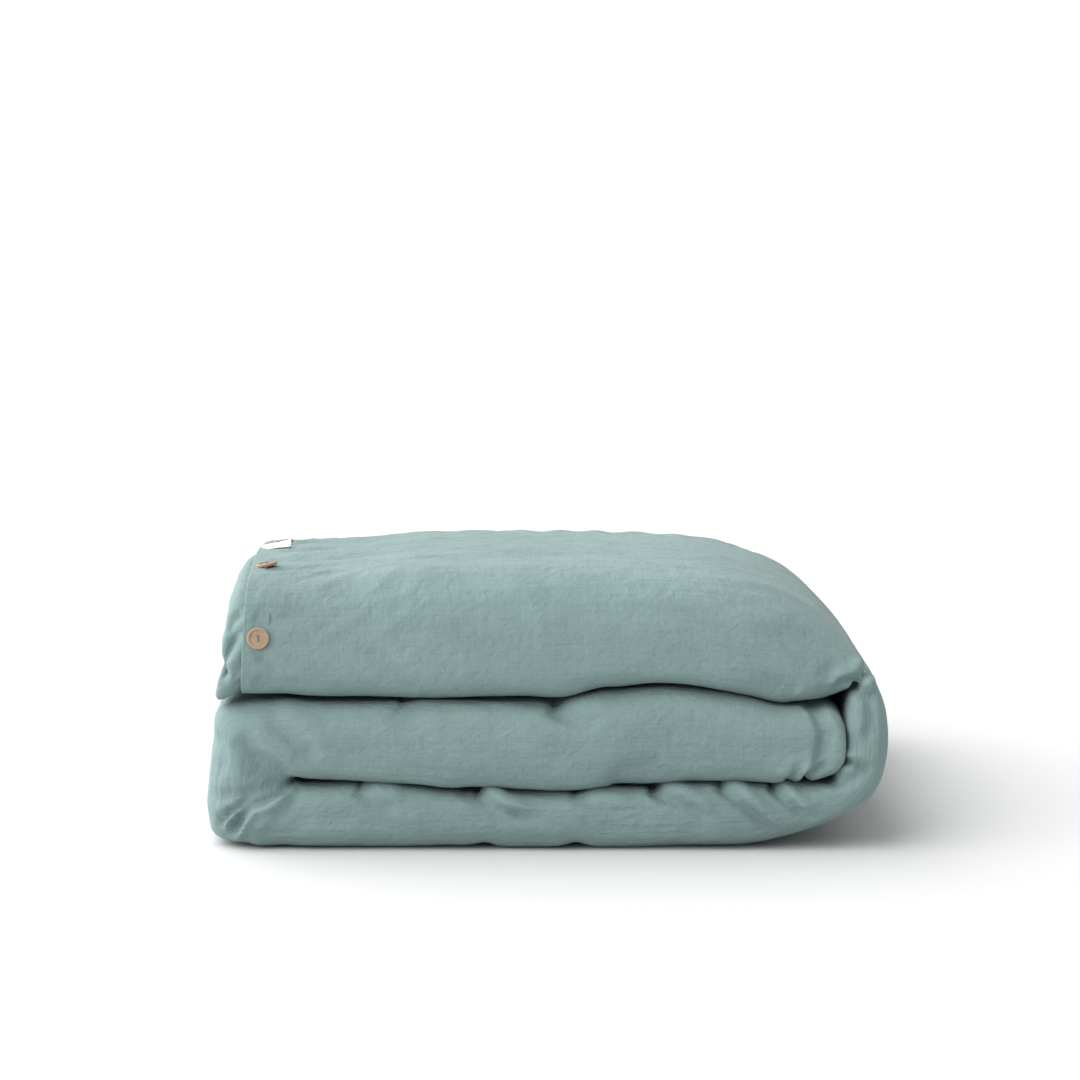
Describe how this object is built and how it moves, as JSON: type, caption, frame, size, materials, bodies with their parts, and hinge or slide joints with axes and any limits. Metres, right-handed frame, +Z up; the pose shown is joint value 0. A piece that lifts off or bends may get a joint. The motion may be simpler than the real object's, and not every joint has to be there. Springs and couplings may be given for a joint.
{
  "type": "duvet",
  "caption": "Duvet in a buttoned linen cover, halved lengthwise and letter-folded in thirds, with its opening end on the left of the top third.",
  "frame": {"origin": "centre of the folded pile's bounding box, on the surface it lies on", "axes": "+X right along the folded rolls, +Y from the round front folds to the seamed back edges, +Z up"},
  "size_m": [0.684, 0.6201, 0.279],
  "materials": {
    "linen_cover": "washed linen, matt",
    "linen_reverse": "washed linen, matt",
    "linen_seam": "folded linen seam, matt",
    "cotton_ticking": "plain cotton, matt",
    "hollow_fibre": "soft wadding, matt",
    "cotton_tape": "twill tape, matt",
    "label_weave": "woven label, satin",
    "coconut_shell": "turned shell, satin",
    "sewing_thread": "sewing thread, matt"
  },
  "bodies": {
    "lower_thirds": {"face_panel_lower": "linen_cover", "reverse_panel_lower": "linen_reverse", "insert_ticking_lower": "cotton_ticking", "insert_filling_lower": "hollow_fibre", "side_seam_outer_lower": "linen_seam", "side_seam_inner_lower": "linen_seam", "closed_end_seam": "linen_seam", "cover_tie_1": "cotton_tape", "cover_tie_2": "cotton_tape", "insert_loop_1": "cotton_tape", "insert_loop_2": "cotton_tape"},
    "right_wrap": {"face_panel_wrap": "linen_cover", "reverse_panel_wrap": "linen_reverse", "insert_ticking_wrap": "cotton_ticking", "insert_filling_wrap": "hollow_fibre", "side_seam_outer_wrap": "linen_seam", "side_seam_inner_wrap": "linen_seam"},
    "top_third": {"face_panel_top": "linen_cover", "reverse_panel_top": "linen_reverse", "insert_ticking_top": "cotton_ticking", "insert_filling_top": "hollow_fibre", "buttonhole_band": "linen_cover", "button_band": "linen_reverse", "side_seam_outer_top": "linen_seam", "side_seam_inner_top": "linen_seam", "cover_tie_3": "cotton_tape", "cover_tie_4": "cotton_tape", "insert_loop_3": "cotton_tape", "insert_loop_4": "cotton_tape"},
    "label": {"woven_label": "label_weave"},
    "sewn_button_1": {"button_1": "coconut_shell", "thread_1": "sewing_thread"},
    "sewn_button_2": {"button_2": "coconut_shell", "thread_2": "sewing_thread"},
    "sewn_button_3": {"button_3": "coconut_shell", "thread_3": "sewing_thread"},
    "sewn_button_4": {"button_4": "coconut_shell", "thread_4": "sewing_thread"},
    "sewn_button_5": {"button_5": "coconut_shell", "thread_5": "sewing_thread"},
    "sewn_button_6": {"button_6": "coconut_shell", "thread_6": "sewing_thread"},
    "sewn_button_7": {"button_7": "coconut_shell", "thread_7": "sewing_thread"}
  },
  "joints": [
    {"name": "wrap_turn", "type": "hinge", "parent": "lower_thirds", "child": "right_wrap", "pos_m": [0.3045, 0, 0.0375], "axis": [0, 1, 0], "range_deg": [0, 90]},
    {"name": "top_turn", "type": "hinge", "parent": "right_wrap", "child": "top_third", "pos_m": [0.2785, 0, 0.2155], "axis": [0, 1, 0], "range_deg": [0, 90]},
    {"name": "button_1_twist", "type": "hinge", "parent": "top_third", "child": "sewn_button_1", "pos_m": [-0.285, -0.30443, 0.215], "axis": [0, -0.9762, 0.2169], "range_deg": [-40, 40], "stiffness_Nm_per_rad": 0.001},
    {"name": "button_2_twist", "type": "hinge", "parent": "top_third", "child": "sewn_button_2", "pos_m": [-0.285, -0.1784, 0.2622], "axis": [-0.158, 0, 0.9874], "range_deg": [-40, 40], "stiffness_Nm_per_rad": 0.001},
    {"name": "button_3_twist", "type": "hinge", "parent": "top_third", "child": "sewn_button_3", "pos_m": [-0.285, -0.1784, 0.15859], "axis": [-0.0773, 0, -0.997], "range_deg": [-40, 40], "stiffness_Nm_per_rad": 0.001},
    {"name": "button_4_twist", "type": "hinge", "parent": "top_third", "child": "sewn_button_4", "pos_m": [-0.285, 0.0216, 0.2622], "axis": [-0.158, 0, 0.9874], "range_deg": [-40, 40], "stiffness_Nm_per_rad": 0.001},
    {"name": "button_5_twist", "type": "hinge", "parent": "top_third", "child": "sewn_button_5", "pos_m": [-0.285, 0.0216, 0.15859], "axis": [-0.0773, 0, -0.997], "range_deg": [-40, 40], "stiffness_Nm_per_rad": 0.001},
    {"name": "button_6_twist", "type": "hinge", "parent": "top_third", "child": "sewn_button_6", "pos_m": [-0.285, 0.2216, 0.25465], "axis": [0, 0.1445, 0.9895], "range_deg": [-40, 40], "stiffness_Nm_per_rad": 0.001},
    {"name": "button_7_twist", "type": "hinge", "parent": "top_third", "child": "sewn_button_7", "pos_m": [-0.285, 0.2216, 0.15859], "axis": [-0.0773, 0, -0.997], "range_deg": [-40, 40], "stiffness_Nm_per_rad": 0.001},
    {"name": "label_lift", "type": "hinge", "parent": "top_third", "child": "label", "pos_m": [-0.301, -0.0284, 0.25994], "axis": [0, -1, 0], "range_deg": [0, 75], "stiffness_Nm_per_rad": 0.0005}
  ],
  "couplings": [
    {"joint": "wrap_turn", "follows": "top_turn", "ratio": 1}
  ]
}
